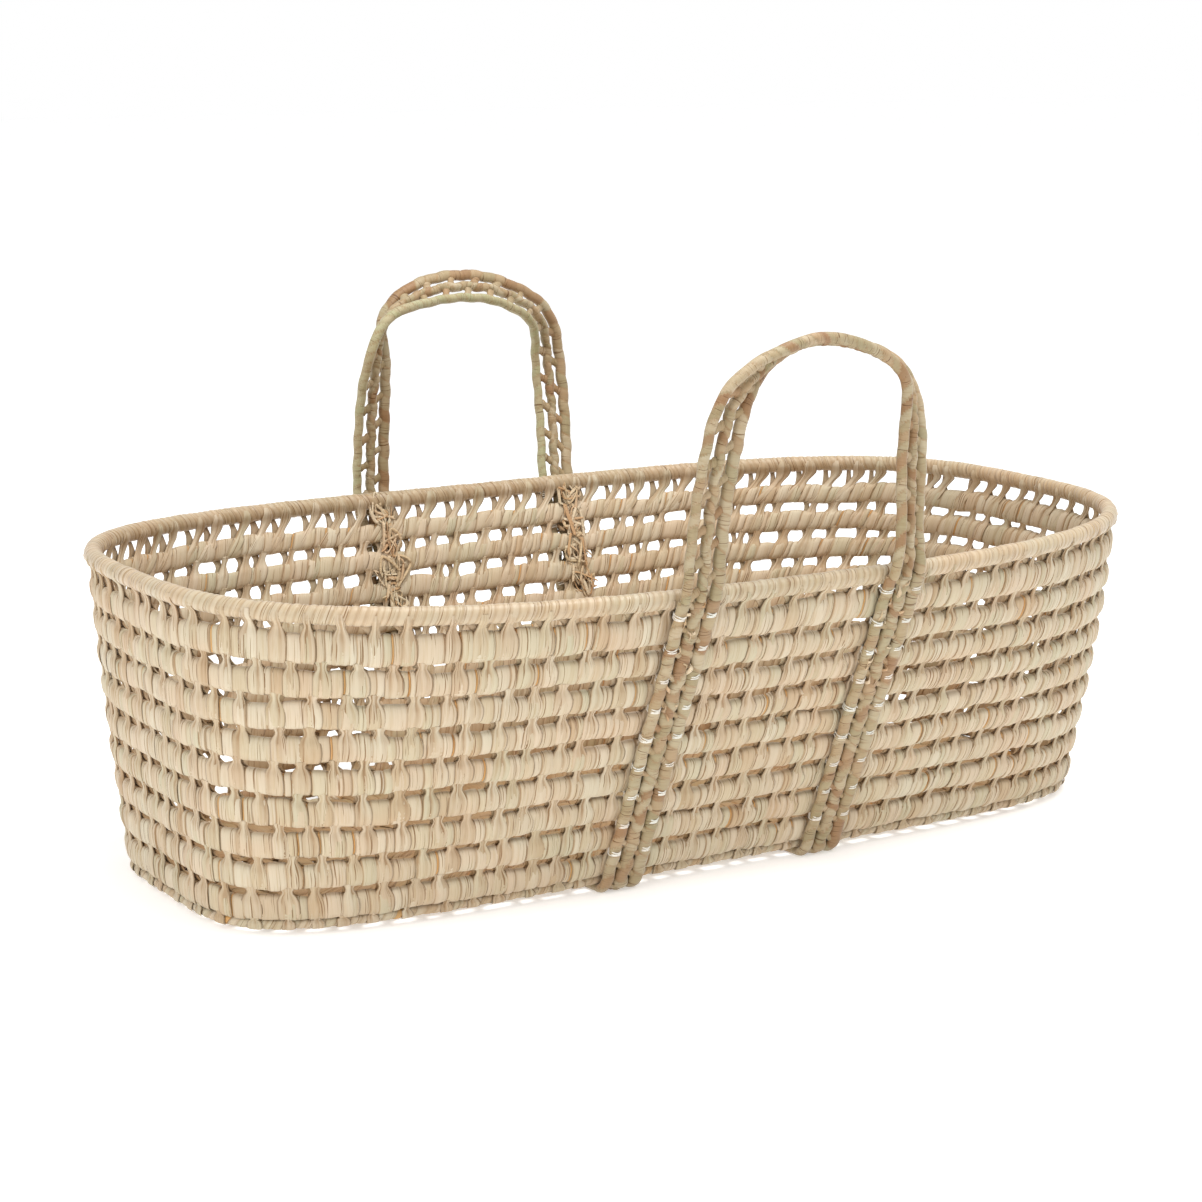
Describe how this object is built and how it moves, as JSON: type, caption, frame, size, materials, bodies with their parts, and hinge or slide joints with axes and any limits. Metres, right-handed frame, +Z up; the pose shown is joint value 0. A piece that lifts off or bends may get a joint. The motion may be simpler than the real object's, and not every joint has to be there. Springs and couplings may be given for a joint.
{
  "type": "moses basket",
  "caption": "Open baby basket of coiled palm-leaf rows with flared walls, a wrapped round rim, straps under the base and fold-down carrying handles.",
  "frame": {"origin": "on the floor under the middle of the basket, in the plane of the straps' undersides", "axes": "+X along the length, +Y towards the back handle, +Z up"},
  "size_m": [0.853, 0.5514, 0.4299],
  "materials": {
    "palm_leaf": "dry wrapped palm-leaf strips, matt",
    "leaf_stitch": "dry palm-leaf stitches, matt",
    "rim_leaf": "tightly wrapped palm leaf, soft sheen",
    "bundle_core": "loose grass-like core fibres, matt",
    "handle_leaf": "olive-tan wrapped leaf cord, soft sheen",
    "cotton_thread": "white cotton thread",
    "raffia": "brown twisted raffia"
  },
  "bodies": {
    "basket": {"rim_wrap": "rim_leaf", "rim_core": "bundle_core", "rim_stitches": "leaf_stitch", "wall_coil_01": "palm_leaf", "wall_coil_02": "palm_leaf", "wall_coil_03": "palm_leaf", "wall_coil_04": "palm_leaf", "wall_coil_05": "palm_leaf", "wall_coil_06": "palm_leaf", "wall_coil_07": "palm_leaf", "wall_coil_08": "palm_leaf", "wall_coil_09": "palm_leaf", "wall_stitches_01": "leaf_stitch", "wall_stitches_02": "leaf_stitch", "wall_stitches_03": "leaf_stitch", "wall_stitches_04": "leaf_stitch", "wall_stitches_05": "leaf_stitch", "wall_stitches_06": "leaf_stitch", "wall_stitches_07": "leaf_stitch", "wall_stitches_08": "leaf_stitch", "base_edge_coil": "palm_leaf", "edge_stitches": "leaf_stitch", "base_core": "palm_leaf", "base_coil_1": "palm_leaf", "base_coil_2": "palm_leaf", "base_coil_3": "palm_leaf", "base_coil_4": "palm_leaf", "base_coil_5": "palm_leaf", "base_coil_6": "palm_leaf", "base_stitches_1": "leaf_stitch", "base_stitches_2": "leaf_stitch", "base_stitches_3": "leaf_stitch", "base_stitches_4": "leaf_stitch", "base_stitches_5": "leaf_stitch", "base_stitches_6": "leaf_stitch", "base_stitches_7": "leaf_stitch", "left_strap_left_cord": "handle_leaf", "left_strap_middle_cord": "handle_leaf", "left_strap_right_cord": "handle_leaf", "right_strap_left_cord": "handle_leaf", "right_strap_middle_cord": "handle_leaf", "right_strap_right_cord": "handle_leaf", "left_strap_links": "handle_leaf", "right_strap_links": "handle_leaf", "cotton_ties": "cotton_thread", "raffia_ties": "raffia"},
    "front_handle": {"front_handle_left_cord": "handle_leaf", "front_handle_middle_cord": "handle_leaf", "front_handle_right_cord": "handle_leaf", "front_handle_links": "handle_leaf"},
    "back_handle": {"back_handle_left_cord": "handle_leaf", "back_handle_middle_cord": "handle_leaf", "back_handle_right_cord": "handle_leaf", "back_handle_links": "handle_leaf"}
  },
  "joints": [
    {"name": "front_handle_fold", "type": "hinge", "parent": "basket", "child": "front_handle", "pos_m": [0, -0.25916, 0.24943], "axis": [1, 0, 0], "range_deg": [-68, 140]},
    {"name": "back_handle_fold", "type": "hinge", "parent": "basket", "child": "back_handle", "pos_m": [0, 0.25916, 0.24943], "axis": [-1, 0, 0], "range_deg": [-68, 140]}
  ]
}
